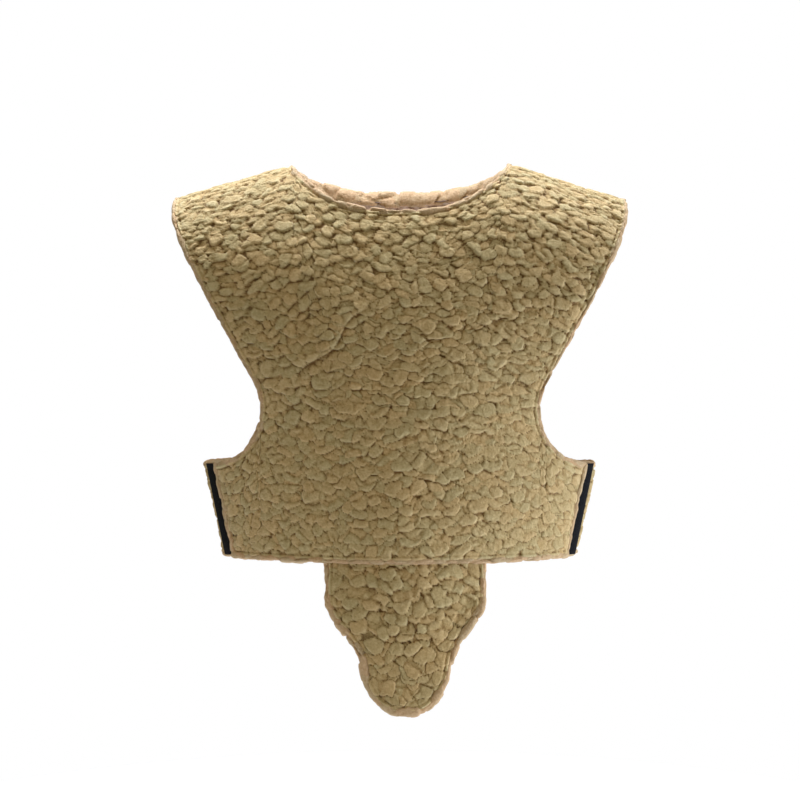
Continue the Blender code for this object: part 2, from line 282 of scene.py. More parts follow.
def wing_path(side, angle, z):
    """The outline, stepped inwards where a back wing passes under a front wing."""
    point = outline_point(side, angle, z)
    if side == FRONT:
        return point
    step = 0.002
    along = outline_point(side, angle + step, z) - outline_point(side, angle - step, z)
    normal = unit(np.stack([-along[..., 1], along[..., 0], along[..., 0] * 0.0], axis=-1))
    share = (STEP_BEGINS - point[..., 1]) / (STEP_BEGINS + STEP_ENDS)
    return point - normal * (OVERLAP_STEP * smooth(share))[..., None]


def tongue_half_width(share):
    taper = smooth((share - TONGUE_TAPER_FROM) / (TONGUE_TAPER_TO - TONGUE_TAPER_FROM))
    tip = np.maximum(share - TONGUE_TIP_FROM, 0.0) / (1.0 - TONGUE_TIP_FROM)
    return TONGUE_HALF_WIDTH * (1.0 - TONGUE_TAPER * taper) * np.sqrt(1.0 - tip ** 2.2)


def tongue_surface(x, fall):
    share = (np.abs(x) / BAND_HALF_WIDTH_HEM) ** WAIST_POWER
    depth = profile_depth(HEM_FALL) * (1.0 - share) ** (1.0 / WAIST_POWER) - TONGUE_SETBACK
    return np.stack([x, -depth - TONGUE_LEAN * fall, TONGUE_TOP - fall], axis=-1)


# ---- grids

def profile_length():
    """Length of the centre profile from the ridge, against the fall below it."""
    fall = np.linspace(0.0, math.sqrt(HEM_FALL), 4000) ** 2
    return fall, run_length(np.stack([fall, profile_depth(fall)], axis=1))


PROFILE_FALL, PROFILE_LENGTH = profile_length()


def length_at(fall):
    return np.interp(fall, PROFILE_FALL, PROFILE_LENGTH)


def fall_at(length):
    return np.interp(length, PROFILE_LENGTH, PROFILE_FALL)


def panel_columns(side):
    """Columns from edge to edge, evenly spaced along the neckline and along a ridge."""
    neck = NECK_HALF_WIDTH / TIP_HALF_WIDTH
    x = NECK_HALF_WIDTH * np.sin(np.linspace(0.0, math.pi / 2.0, 1200))
    length = run_length(panel_surface(side, x, neck_edge_fall(side, x)))
    even = np.interp(np.linspace(0.0, length[-1], NECK_COLUMNS + 1)[:-1], length, x)
    half = np.concatenate([even / TIP_HALF_WIDTH, np.linspace(neck, 1.0, RIDGE_COLUMNS + 1)])
    return np.concatenate([-half[:0:-1], half])


def panel_grid(side):
    """Points and cloth coordinates of a main panel, top row first."""
    across = panel_columns(side)[None, :]
    top = neck_edge_fall(side, across * TIP_HALF_WIDTH)
    root_length = length_at(-ARMHOLE_CENTRE_Z)
    share = np.linspace(0.0, 1.0, UPPER_ROWS + 1)[:, None]
    upper = fall_at(blend(length_at(top), root_length, share))
    share = np.linspace(0.0, 1.0, LOWER_ROWS + 1)[1:, None]
    lower = blend(-ARMHOLE_CENTRE_Z, HEM_FALL, share) + across * 0.0
    fall = np.concatenate([upper, lower])
    x = across * TIP_HALF_WIDTH + fall * 0.0
    for _ in range(6):
        x = across * half_width(height(x, fall))
    run = np.zeros_like(x)
    previous = panel_surface(side, x * 0.0, fall)
    for share in np.linspace(0.0, 1.0, 25)[1:]:
        points = panel_surface(side, x * share, fall)
        run += np.linalg.norm(points - previous, axis=-1)
        previous = points
    return points, np.stack([run * np.sign(across), side * length_at(fall)], axis=-1)


def wing_grid(side, hand, root_run):
    """Points and cloth coordinates of a wing, its root in the first column."""
    end = WING_END[side]
    root_angle = angle_at_x(ROOT_HALF_WIDTH, BAND_TOP)
    end_angle = angle_at_depth(end, np.float64(BAND_TOP))
    turn = np.linspace(0.0, 1.0, ARC_COLUMNS + 1) * math.radians(89.0)
    arc_x = ARMHOLE_CENTRE_X - ARMHOLE_RADIUS * np.cos(turn)
    level = angle_at_x(arc_x, BAND_TOP)
    if side == FRONT:
        level = root_angle + (level - root_angle) * ((end_angle - root_angle)
                                                     / (level[-1] - root_angle))
    else:
        band = np.linspace(level[-1], end_angle, BACK_BAND_COLUMNS + 1)[1:]
        level = np.concatenate([level, band])
    along = ((level - root_angle) / (end_angle - root_angle))[None, :]
    level_x = outline_point(side, level, np.full_like(level, BAND_TOP))[:, 0]
    top = np.where(level > math.pi / 2.0, BAND_TOP, wing_top(level_x))[None, :]
    top[0, 0] = ARMHOLE_CENTRE_Z
    z = blend(top, -HEM_FALL, np.linspace(0.0, 1.0, LOWER_ROWS + 1)[:, None])
    angle = blend(angle_at_x(ROOT_HALF_WIDTH, z), angle_at_depth(end, z), along)
    points = wing_path(side, angle, z)
    run = hand * (run_length(points) + np.abs(root_run)[:, None])
    points[..., 0] *= hand
    return points, np.stack([run, side * length_at(-z)], axis=-1)


def tongue_grid():
    across = np.linspace(-1.0, 1.0, TONGUE_COLUMNS + 1)[None, :]
    even = np.linspace(0.0, 1.0, TONGUE_ROWS + 1)
    share = 0.992 * blend(even, np.sin(even * math.pi / 2.0), 0.5)[:, None]
    x = TONGUE_SHIFT + across * tongue_half_width(share)
    fall = blend(-TONGUE_TUCK, TONGUE_LENGTH, share) + x * 0.0
    points = tongue_surface(x, fall)
    return points, np.stack([x, fall / math.cos(math.atan(TONGUE_LEAN))], axis=-1)


# ---- curls of the pile

def noise(across, down, size, seed):
    """Smooth noise from -1 to 1 on a lattice of the given size."""
    table = np.random.default_rng(seed).random((97, 89)) * 2.0 - 1.0
    u, v = across / size, down / size
    i, j = np.floor(u).astype(int), np.floor(v).astype(int)
    s, t = smooth(u - i), smooth(v - j)
    top = blend(table[i % 97, j % 89], table[(i + 1) % 97, j % 89], s)
    low = blend(table[i % 97, (j + 1) % 89], table[(i + 1) % 97, (j + 1) % 89], s)
    return blend(top, low, t)


def curls(across, down, width, length, seed, tilt, spread=1.1):
    """Overlapping flakes of pile, each proud along its lower edge, with a steep rim:
    the height of the topmost flake, about 0 to 1, how clear of the next flake it is,
    from 0 on the line between the two to 1, and a tint for each flake."""
    draws = np.random.default_rng(seed).random((101, 103, 7))
    rise = np.full_like(across, -0.15)
    second = np.full_like(across, -0.15)
    tint = np.zeros_like(across)
    row = np.floor(down / length).astype(int)
    for line_step in range(-2, 3):
        line = row + line_step
        offset = 0.5 * (line % 2)
        column = np.floor(across / width - offset).astype(int)
        for place_step in range(-2, 3):
            place = column + place_step
            draw = draws[place % 101, line % 103]
            x = across - (place + offset + 0.5 + 0.70 * (draw[..., 0] - 0.5)) * width
            y = down - (line + 0.5 + 0.70 * (draw[..., 1] - 0.5)) * length
            turn = 1.6 * (draw[..., 2] - 0.5)
            cos, sin = np.cos(turn), np.sin(turn)
            along = (x * cos + y * sin) / (width * (0.56 + 0.44 * draw[..., 3]))
            cross = (y * cos - x * sin) / (length * (0.56 + 0.34 * draw[..., 4]))
            away = (np.abs(along) ** 2.3 + np.abs(cross) ** 2.3) ** (1.0 / 2.3)
            flake = 1.0 - 0.30 * away ** 2 + tilt * y / length + spread * (draw[..., 5] - 0.5)
            flake -= 1.3 * smooth((away - 0.82) / 0.26)
            better = flake > rise
            second = np.where(better, rise, np.maximum(second, flake))
            tint = np.where(better, draw[..., 6], tint)
            rise = np.maximum(flake, rise)
    return rise, smooth((rise - second) / 0.22), tint


def layered(across, down, width, length, seed, tilt):
    """Two layers of flakes, the lower one filling the gaps in the upper one."""
    rise, clear, tint = curls(across, down, width, length, seed, tilt)
    low_rise, low_clear, low_tint = curls(across + 0.37, down + 0.53, width, length, seed + 1,
                                          tilt)
    low_rise -= 0.45
    low = low_rise > rise
    clear = np.where(low, low_clear, clear) * smooth(np.abs(rise - low_rise) / 0.25)
    return np.maximum(rise, low_rise), clear, np.where(low, low_tint, tint)


def warped(across, down, size, amount, seed):
    """Coordinates shaken by noise, so that the curls' outlines are uneven."""
    return (across + amount * noise(across, down, size, seed),
            down + amount * noise(across, down, size, seed + 1))


# ---- meshes

def quads(ids):
    return np.stack([ids[:-1, :-1], ids[1:, :-1], ids[1:, 1:], ids[:-1, 1:]],
                    axis=-1).reshape(-1, 4)


def numbered(grid):
    """The numbers of a grid's points, row by row."""
    return np.arange(grid.shape[0] * grid.shape[1]).reshape(grid.shape[:2])


def vertex_normals(points, faces):
    """Normals of a list or a grid of points."""
    flat = points.reshape(-1, 3)
    a, b, c, d = (flat[faces[:, i]] for i in range(4))
    face = np.cross(c - a, d - b)
    normals = np.zeros_like(flat)
    for i in range(4):
        np.add.at(normals, faces[:, i], face)
    return unit(normals).reshape(points.shape)


def averaged(values, faces, rounds):
    """Values at a mesh's points, evened out over their neighbours."""
    count = len(values)
    uses = np.maximum(np.bincount(faces.ravel(), minlength=count), 1)
    for _ in range(rounds):
        means = np.repeat(values[faces].mean(axis=1), faces.shape[1])
        values = np.bincount(faces.ravel(), means, count) / uses
    return values


def cavity_shading_of(lift, faces, relief, rounds=9):
    """How far the pile stands over its surroundings, from 0 in a crevice to 1; the pile materials
    turn it into painted shade in the crevices and painted light on the crests.
    """
    near = lift.ravel() - averaged(lift.ravel(), faces, rounds)
    return np.clip(0.52 + 0.5 * near / relief, 0.0, 1.0).reshape(lift.shape)


def make_piece(name, points, groups, material, normals=None, values=None):
    """A mesh object from points and groups of equal-sided faces."""
    mesh = bpy.data.meshes.new(name)
    corners = np.concatenate([group.reshape(-1) for group in groups])
    sizes = np.concatenate([np.full(len(group), group.shape[1]) for group in groups])
    mesh.vertices.add(len(points))
    mesh.vertices.foreach_set("co", points.astype(np.float32).ravel())
    mesh.loops.add(len(corners))
    mesh.loops.foreach_set("vertex_index", corners.astype(np.int32))
    mesh.polygons.add(len(sizes))
    starts = np.concatenate([[0], np.cumsum(sizes)[:-1]])
    mesh.polygons.foreach_set("loop_start", starts.astype(np.int32))
    mesh.update(calc_edges=True)
    mesh.shade_smooth()
    for label, data in (values or {}).items():
        attribute = mesh.attributes.new(label, "FLOAT", "POINT")
        attribute.data.foreach_set("value", data.astype(np.float32))
    if normals is not None:
        mesh.normals_split_custom_set_from_vertices(normals.tolist())
    mesh.materials.append(material)
    piece = bpy.data.objects.new(name, mesh)
    bpy.context.scene.collection.objects.link(piece)
    return piece


def rim_of(ids, coarse):
    """Faces that join a fine grid's edge to a coarse grid's edge, all round."""
    rims = []
    for fine, base in ((ids[0], coarse[0]), (ids[-1, ::-1], coarse[-1, ::-1]),
                       (ids[::-1, 0], coarse[::-1, 0]), (ids[:, -1], coarse[:, -1])):
        count = len(base) - 1
        step = (len(fine) - 1) // count
        for k in range(count):
            run = fine[k * step:(k + 1) * step + 1]
            rims.append(np.concatenate([run, [base[k + 1], base[k]]]))
    return np.array(rims)


def closed_sheet(name, face, back, material, values, normals, flip):
    """A closed sheet: a fine worked face, a coarse back, and a rim between them."""
    ids = numbered(face)
    coarse_back = back[::COARSE, ::COARSE]
    coarse = numbered(coarse_back) + ids.size
    groups = [quads(ids), quads(coarse)[:, ::-1], rim_of(ids, coarse)[:, ::-1]]
    if flip:
        groups = [group[:, ::-1] for group in groups]
    points = np.concatenate([face.reshape(-1, 3), coarse_back.reshape(-1, 3)])
    coarse_normals = -normals[::COARSE, ::COARSE].reshape(-1, 3)
    all_normals = np.concatenate([normals.reshape(-1, 3), coarse_normals])
    spare = len(coarse_normals)
    full = {label: np.concatenate([data.ravel(), np.full(spare, 0.3)])
            for label, data in values.items()}
    return make_piece(name, points, groups, material, all_normals, full)


# ---- materials

def rgb(red, green, blue):
    """A display colour, from 0 to 255, as linear light."""
    shares = np.array([red, green, blue]) / 255.0
    low = shares / 12.92
    high = ((shares + 0.055) / 1.055) ** 2.4
    return (*np.where(shares <= 0.04045, low, high).tolist(), 1.0)


def node(tree, kind, **settings):
    made = tree.nodes.new(kind)
    for key, value in settings.items():
        setattr(made, key, value)
    return made


def blank_material(name, roughness, sheen):
    material = bpy.data.materials.new(name)
    material.use_nodes = True
    shader = material.node_tree.nodes["Principled BSDF"]
    for label, value in (("Roughness", roughness), ("Specular IOR Level", 0.18),
                         ("Sheen Weight", sheen), ("Sheen Roughness", 0.6),
                         ("Sheen Tint", (1.0, 0.95, 0.84, 1.0))):
        shader.inputs[label].default_value = value
    return material, material.node_tree, shader


def feed(tree, socket, value):
    """Link an input to another node's output, or give it a value of its own."""
    if isinstance(value, bpy.types.NodeSocket):
        tree.links.new(value, socket)
    else:
        socket.default_value = value


def math_node(tree, operation, *values):
    made = node(tree, "ShaderNodeMath", operation=operation)
    for socket, value in zip(made.inputs, values):
        feed(tree, socket, value)
    return made.outputs[0]


def mix_colours(tree, kind, share, first, second):
    mixer = node(tree, "ShaderNodeMix", data_type="RGBA", blend_type=kind)
    for socket, value in ((0, share), (6, first), (7, second)):
        feed(tree, mixer.inputs[socket], value)
    return mixer.outputs[2]


def noise_node(tree, scale, detail, coordinates):
    made = node(tree, "ShaderNodeTexNoise")
    made.inputs["Scale"].default_value = scale
    made.inputs["Detail"].default_value = detail
    tree.links.new(coordinates, made.inputs["Vector"])
    return made.outputs["Fac"]


def ramp(tree, value, stops):
    made = node(tree, "ShaderNodeValToRGB")
    while len(made.color_ramp.elements) < len(stops):
        made.color_ramp.elements.new(0.5)
    for element, (position, colour) in zip(made.color_ramp.elements, stops):
        element.position = position
        element.color = colour
    tree.links.new(value, made.inputs["Fac"])
    return made.outputs["Color"]


def add_relief(tree, shader, level, strength, distance):
    relief = node(tree, "ShaderNodeBump")
    relief.inputs["Strength"].default_value = strength
    relief.inputs["Distance"].default_value = distance
    tree.links.new(level, relief.inputs["Height"])
    tree.links.new(relief.outputs["Normal"], shader.inputs["Normal"])


def pile_material(name, crevice_shade, flank, crest_light, pink, strength):
    """Curly pile: painted shade in the crevices, painted light on the crests, and a tint that
    differs from flake to flake.
    """
    material, tree, shader = blank_material(name, 0.92, 0.15)
    place = node(tree, "ShaderNodeTexCoord").outputs["Object"]
    # This attribute paints shade into the crevices and light onto the crests; the ramp's first
    # colour is painted crevice shade, its last painted crest light.
    level = node(tree, "ShaderNodeAttribute", attribute_name="crest_light").outputs["Fac"]
    tint = node(tree, "ShaderNodeAttribute", attribute_name="tint").outputs["Fac"]
    shaken = math_node(tree, "MULTIPLY_ADD", noise_node(tree, 480.0, 3.0, place), 0.60, level)
    centred = math_node(tree, "SUBTRACT", shaken, 0.30)
    colour = ramp(tree, centred, ((0.14, crevice_shade), (0.42, flank), (0.82, crest_light)))
    warm = ramp(tree, tint, ((0.10, (0.88, 0.91, 0.90, 1.0)), (0.95, pink)))
    colour = mix_colours(tree, "MULTIPLY", 0.8, colour, warm)
    shade = ramp(tree, noise_node(tree, 45.0, 2.0, place),
                 ((0.30, (0.88, 0.90, 0.90, 1.0)), (0.70, (1.0, 1.0, 1.0, 1.0))))
    colour = mix_colours(tree, "MULTIPLY", 0.8, colour, shade)
    tree.links.new(colour, shader.inputs["Base Color"])
    strands = noise_node(tree, 1300.0, 3.0, place)
    total = math_node(tree, "MULTIPLY_ADD", noise_node(tree, 380.0, 3.0, place), 1.6, strands)
    add_relief(tree, shader, total, strength, 0.0014)
    return material


def woven_material(name, dark, light, pitch, roughness, sheen):
    """A plain weave of crossing yarns."""
    material, tree, shader = blank_material(name, roughness, sheen)
    place = node(tree, "ShaderNodeTexCoord").outputs["Object"]
    waves = []
    for direction in ("X", "Z"):
        wave = node(tree, "ShaderNodeTexWave", bands_direction=direction)
        wave.inputs["Scale"].default_value = 1.0 / pitch
        wave.inputs["Distortion"].default_value = 0.6
        tree.links.new(place, wave.inputs["Vector"])
        waves.append(wave.outputs["Fac"])
    cross = math_node(tree, "MULTIPLY", *waves)
    colour = ramp(tree, cross, ((0.0, dark), (1.0, light)))
    tree.links.new(colour, shader.inputs["Base Color"])
    add_relief(tree, shader, cross, 0.5, 0.0002)
    return material


# In each pile material the first colour is painted shade for the crevices and the third is
# painted light for the crests.
OUTER = pile_material("outer_pile", rgb(142, 109, 62), rgb(203, 172, 112), rgb(233, 208, 150),
                      (1.0, 0.92, 0.86, 1.0), 0.7)
INNER = pile_material("lining_pile", rgb(140, 108, 80), rgb(204, 172, 140), rgb(230, 204, 176),
                      (1.0, 0.92, 0.90, 1.0), 0.5)
EDGE = pile_material("edge_pile", rgb(146, 108, 68), rgb(214, 178, 128), rgb(240, 212, 166),
                     (1.0, 0.91, 0.87, 1.0), 0.7)
CANVAS = woven_material("interlining_canvas", rgb(170, 160, 132), rgb(222, 214, 190),
                        0.0008, 0.9, 0.1)
# The thread's dark brown is partly its own colour and partly painted shade for the shadow along
# the seam.
SEAM_SHADE_THREAD = woven_material("sewing_thread", rgb(60, 42, 22), rgb(112, 84, 50), 0.0005, 0.75, 0.1)
TAPE = woven_material("tape_ground", rgb(6, 6, 7), rgb(20, 20, 22), 0.0006, 0.8, 0.05)
TAPE_FACE = woven_material("tape_face", rgb(8, 8, 9), rgb(24, 24, 26), 0.0005, 0.6, 0.1)


# ---- the outer cloth

class Cloth:
    """The outer surface, with every point numbered once; its patches share their joins."""

    def __init__(self):
        self.patches = {}
        self.turned = {}
        grids, places = [], []
        self.count = 0

        def number(name, grid, place, shared=None):
            ids = np.full(grid.shape[:2], -1) if shared is None else shared
            fresh = ids < 0
            ids[fresh] = self.count + np.arange(int(fresh.sum()))
            self.count += int(fresh.sum())
            grids.append(grid[fresh])
            places.append(place[fresh])
            self.patches[name] = ids

        for word, side in SIDES:
            grid, place = panel_grid(side)
            shared = np.full(grid.shape[:2], -1)
            if side == BACK:
                neck = NECK_HALF_WIDTH / TIP_HALF_WIDTH
                ridge = np.abs(panel_columns(side)) >= neck - 1e-9
                shared[0, ridge] = self.patches["front_panel"][0, ridge]
            number(f"{word}_panel", grid, place, shared)
            for hand_word, hand in HANDS:
                column = 0 if hand < 0.0 else -1
                wing, wing_place = wing_grid(side, hand, place[UPPER_ROWS:, column, 0])
                shared = np.full(wing.shape[:2], -1)
                shared[:, 0] = self.patches[f"{word}_panel"][UPPER_ROWS:, column]
                number(f"{word}_wing_{hand_word}", wing, wing_place, shared)
        self.points = np.concatenate(grids)
        self.coordinates = np.concatenate(places)
        faces = []
        for name, ids in self.patches.items():
            corner = [self.points[quads(ids)[:, k]] for k in range(4)]
            facing = np.cross(corner[2] - corner[0], corner[3] - corner[1])
            self.turned[name] = bool((facing * corner[0])[:, :2].sum() < 0.0)
            faces.append(quads(ids)[:, ::-1] if self.turned[name] else quads(ids))
        self.faces = np.concatenate(faces)
        self.normals = vertex_normals(self.points, self.faces)
        self.edge = self.edge_distance()

    def lined(self):
        """Each patch with the step that turns its faces towards the wearer."""
        return [(ids, 1 if self.turned[name] else -1) for name, ids in self.patches.items()]

    def edge_distance(self):
        """How far each point lies from the cloth's free edges."""
        edges = []
        for ids in self.patches.values():
            for run in (ids[0], ids[-1], ids[:, 0], ids[:, -1]):
                edges.append(np.stack([run[:-1], run[1:]], axis=1))
        edges = np.sort(np.concatenate(edges), axis=1)
        kinds, counts = np.unique(edges, axis=0, return_counts=True)
        return distances(self.points, self.points[np.unique(kinds[counts == 1])])


def fold(points):
    """The short diagonal fold on the left of the chest: height of its raised upper
    side, and depth of the line under it."""
    start, end = np.array([-0.034, -0.158]), np.array([-0.102, -0.228])
    along = unit(end - start)
    flat = points[:, (0, 2)] - start
    place = flat @ along / np.linalg.norm(end - start)
    offset = flat @ np.array([-along[1], along[0]]) + 0.004 * np.sin(place * 9.0)
    there = smooth((place + 0.10) / 0.3) * smooth((1.15 - place) / 0.3) * (points[:, 1] < 0.0)
    raised = np.where(offset < 0.0, np.exp(-(offset / 0.014) ** 2), 0.0)
    return there * raised, there * np.exp(-((offset - 0.0015) / 0.0045) ** 2)


def shape_pile(coordinates, edge, pressed, size=1.0, puff=1.0):
    """Height of the pile over its base surface, and a tint for each flake."""
    run, down = coordinates[..., 0], coordinates[..., 1]
    across, length = warped(run, down, 0.012 * size, 0.0030 * size, 11)
    across, length = warped(across, length, 0.0042 * size, 0.0011 * size, 21)
    rise, clear, tint = layered(across / (1.0 + 0.35 * pressed), length / (1.0 - 0.06 * pressed),
                                FLAKE[0] * size, FLAKE[1] * size, 5, 0.62)
    small, small_clear, _ = curls(across, length, *SMALL_FLAKE, 8, 0.2, 0.7)
    level = puff * (rise - 0.9) * blend(*FLAKE_HEIGHT, pressed) + (small - 0.9) * 0.00025
    level -= puff * blend(*LINE_DEPTH, pressed) * (1.0 - clear) + 0.0001 * (1.0 - small_clear)
    level += 0.0014 * noise(run, down, 0.055, 31) + 0.0004 * noise(run, down, 0.005, 41)
    level -= 0.0010 * np.exp(-((edge - SEAM_INSET) / 0.0012) ** 2)
    return blend(-0.0036, level, smooth((edge - 0.0010) / 0.0024)), tint


def place_cloth_piece(piece, name):
    """Hang a piece of the cloth on its body; the front wings and the back panel are baked in
    place instead.
    """
    for hand_word, hand in HANDS:
        if name == f"front_wing_{hand_word}":
            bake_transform(piece)
            return
    if name == "back_panel":
        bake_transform(piece)
    else:
        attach(piece, name.partition("_")[0])


def finish_layer(piece, name, layer):
    """Hang a layer of the cloth, and hide the solid that it replaces."""
    place_cloth_piece(piece, name)
    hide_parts(f"{name.replace('_panel', '')}_{layer}")


def build_outer(cloth):
    """The outer pile of both panels and all four wings."""
    run, down = cloth.coordinates[:, 0], np.abs(cloth.coordinates[:, 1])
    front = cloth.coordinates[:, 1] < 0.0
    low = smooth((down - 0.16) / 0.20)
    right = smooth((run + 0.06) / 0.16)
    pressed = np.clip(low * (0.45 + 0.55 * right), 0.0, 1.0)
    lift, tint = shape_pile(cloth.coordinates * (1.0, -1.0), cloth.edge, pressed)
    raised, lined = fold(cloth.points)
    lift = lift + 0.0020 * raised - 0.0008 * lined
    # Painted shade and light: crevices darker, crests paler.
    crest_light = cavity_shading_of(lift, cloth.faces, 0.0013)
    taped = ~front & (cloth.points[:, 1] < LOOP_TAPE_EDGE)
    lift = np.where(taped, np.minimum(lift, -0.0006), lift)
    worked = cloth.points + cloth.normals * lift[:, None]
    worked_normals = vertex_normals(worked, cloth.faces)
    for name, ids in cloth.patches.items():
        depth = PANEL_BACKING if "panel" in name else WING_BACKING
        back = cloth.points[ids] - cloth.normals[ids] * depth
        piece = closed_sheet(f"{name}_pile", worked[ids], back, OUTER,
                             {"crest_light": crest_light[ids], "tint": tint[ids]},
                             worked_normals[ids], cloth.turned[name])
        finish_layer(piece, name, "outer_fleece")


def build_lining(cloth):
    """The inner pile, shorter and pinker, and the canvas between the two."""
    lift, tint = shape_pile(cloth.coordinates * (1.0, -1.0) + 0.013, cloth.edge, 0.8)
    thin = np.zeros(len(lift))
    for name, ids in cloth.patches.items():
        if "wing" in name:
            thin[ids[:, 1:]] = 1.0
    deep = blend(PANEL_LINING[1], WING_LINING[1], thin)
    worked = cloth.points - cloth.normals * (deep + np.maximum(lift, SHORTEST_LINING))[:, None]
    faces = np.concatenate([quads(ids[::LINING_STEP, ::LINING_STEP])[:, ::step]
                            for ids, step in cloth.lined()])
    # Painted shade and light: crevices darker, crests paler.
    crest_light = cavity_shading_of(lift, faces, 0.0010, 4)
    worked_normals = vertex_normals(worked, faces)
    for name, ids in cloth.patches.items():
        ids = ids[::LINING_STEP, ::LINING_STEP]
        layer = PANEL_LINING if "panel" in name else WING_LINING
        back = cloth.points[ids] - cloth.normals[ids] * layer[0]
        piece = closed_sheet(f"{name}_lining", worked[ids], back, INNER,
                             {"crest_light": crest_light[ids], "tint": tint[ids]},
                             worked_normals[ids], not cloth.turned[name])
        finish_layer(piece, name, "inner_fleece")
        if "panel" in name:
            canvas = [cloth.points[ids] - cloth.normals[ids] * depth
                      for depth in PANEL_INTERLINING]
            piece = closed_sheet(f"{name}_interlining", *canvas, CANVAS, {},
                                 cloth.normals[ids], cloth.turned[name])
            finish_layer(piece, name, "interlining")


# ---- camera, light, floor

def build_camera():
    camera = bpy.data.objects.new("camera", bpy.data.cameras.new("camera"))
    camera.location = (0.0, -2.0, -0.248)
    camera.rotation_euler = (math.radians(90.0), 0.0, 0.0)
    camera.data.sensor_width = 36.0
    camera.data.lens = 85.7
    bpy.context.scene.collection.objects.link(camera)
    bpy.context.scene.camera = camera


def area_light(name, place, aim, size, power, colour):
    light = bpy.data.lights.new(name, "AREA")
    light.shape = "DISK"
    light.size = size
    light.energy = power
    light.color = colour
    lamp = bpy.data.objects.new(name, light)
    lamp.location = place
    lamp.rotation_euler = (Vector(aim) - Vector(place)).to_track_quat("-Z", "Y").to_euler()
    bpy.context.scene.collection.objects.link(lamp)


def build_light():
    """Window light from above, behind and the right, in a room with a bright back."""
    area_light("top", (-0.1, 0.3, 1.4), (0.0, 0.0, -0.1), 1.0, 50.0, (0.84, 0.93, 1.18))
    area_light("front_left", (-0.5, -1.25, 1.3), (0.0, 0.0, -0.2), 0.8, 3.6, (1.0, 0.96, 0.88))
    area_light("right", (1.5, -0.15, -0.5), (0.15, 0.0, -0.37), 0.7, 18.0, (0.84, 0.93, 1.18))
    world = bpy.data.worlds.new("studio")
    world.use_nodes = True
    tree = world.node_tree
    facing = node(tree, "ShaderNodeVectorMath", operation="DOT_PRODUCT")
    tree.links.new(node(tree, "ShaderNodeTexCoord").outputs["Generated"], facing.inputs[0])
    facing.inputs[1].default_value = (0.0, 0.4, 0.3)
    share = math_node(tree, "ADD", facing.outputs["Value"], 0.5)
    behind = ramp(tree, share, ((0.0, (0.140, 0.132, 0.112, 1.0)),
                                (0.45, (0.275, 0.263, 0.235, 1.0)),
                                (0.90, (0.66, 0.66, 0.68, 1.0))))
    path = node(tree, "ShaderNodeLightPath")
    seen = mix_colours(tree, "MIX", path.outputs["Is Camera Ray"], behind, (1.0, 1.0, 1.0, 1.0))
    tree.links.new(seen, tree.nodes["Background"].inputs["Color"])
    bpy.context.scene.world = world
    bpy.context.scene.view_settings.view_transform = "Standard"


def build_floor():
    bpy.ops.mesh.primitive_circle_add(vertices=96, radius=0.75, fill_type="NGON",
                                      location=(0.0, 0.0, tongue_low.z - 0.20))
    floor = bpy.context.object
    floor.name = "floor"
    material, _, shader = blank_material("floor", 0.9, 0.0)
    shader.inputs["Base Color"].default_value = (0.9, 0.9, 0.9, 1.0)
    floor.data.materials.append(material)


# ---- edges and seams

def smoothed(values, reach):
    """A run of points or numbers, averaged over its neighbours, with its ends kept."""
    padded = np.concatenate([np.repeat(values[:1], reach, 0), values,
                             np.repeat(values[-1:], reach, 0)])
    total = sum(padded[i:i + len(values)] for i in range(2 * reach + 1))
    result = total / (2 * reach + 1)
    result[0], result[-1] = values[0], values[-1]
    return result


class Border:
    """A run along the cloth's free edge: points, normals, and the way out of the cloth."""

    def __init__(self, step):
        self.step = step
        self.runs = []

    def add(self, name, points, inner, normals, deep):
        """One stretch of edge; deep is where the innermost layer lies."""
        length = run_length(points)
        count = max(int(round(length[-1] / self.step)), 2)
        place = np.linspace(0.0, length[-1], count + 1)
        resampled = [np.stack([np.interp(place, length, data[:, k]) for k in range(3)], 1)
                     for data in (points, unit(points - inner), normals)]
        self.runs.append((name, *resampled, np.full(count + 1, deep)))

    def add_cloth(self, name, cloth, ids, inner_ids, deep):
        self.add(name, cloth.points[ids], cloth.points[inner_ids], cloth.normals[ids], deep)

    def finish(self):
        """Join the stretches and round the corners; cuts say where each one ends."""
        joined = [np.concatenate([self.runs[0][k]] + [run[k][1:] for run in self.runs[1:]])
                  for k in range(1, 5)]
        reach = max(int(round(CORNER_ROUNDING / self.step)), 2)
        self.points = smoothed(joined[0], reach // 2)
        self.normals = unit(smoothed(joined[2], reach))
        square = np.cross(unit(np.gradient(self.points, axis=0)), self.normals)
        facing = np.sign((square * joined[1]).sum())
        self.out = unit(smoothed(facing * square, reach // 2))
        self.deep = smoothed(joined[3], 5)
        self.cuts = {}
        start = 0
        for name, points, *_ in self.runs:
            self.cuts[name] = (start, start + len(points) - 1)
            start += len(points) - 1
        return self


def closed_rings(ids):
    """Rows of numbers with the first one of each repeated at its end."""
    return np.concatenate([ids, ids[..., :1]], axis=-1)


def tube_pieces(border, centre, rings, material, values, label):
    """Cut a tube round a centre line into one closed piece for each named stretch."""
    normals = vertex_normals(rings, quads(closed_rings(numbered(rings))))
    if (normals * (rings - centre[:, None])).sum() < 0.0:
        rings, normals = rings[:, ::-1], -normals[:, ::-1]
        values = {key: data[:, ::-1] for key, data in values.items()}
    pieces = {}
    for name, (first, last) in border.cuts.items():
        part = rings[first:last + 1]
        ids = closed_rings(numbered(part))
        middles = part.mean(axis=1)
        fans = [np.stack([ids[row, :-1], ids[row, 1:], np.full(part.shape[1], hub)], 1)[:, ::turn]
                for row, turn, hub in ((0, 1, ids.max() + 1), (-1, -1, ids.max() + 2))]
        points = np.concatenate([part.reshape(-1, 3), middles[[0, -1]]])
        shading = np.concatenate([normals[first:last + 1].reshape(-1, 3),
                                  unit(middles[[0, -1]] - middles[[1, -2]])])
        full = {key: np.concatenate([data[first:last + 1].ravel(), [0.4, 0.4]])
                for key, data in values.items()}
        pieces[name] = make_piece(f"{name}_{label}", points, [quads(ids), np.concatenate(fans)],
                                  material, shading, full)
    return pieces


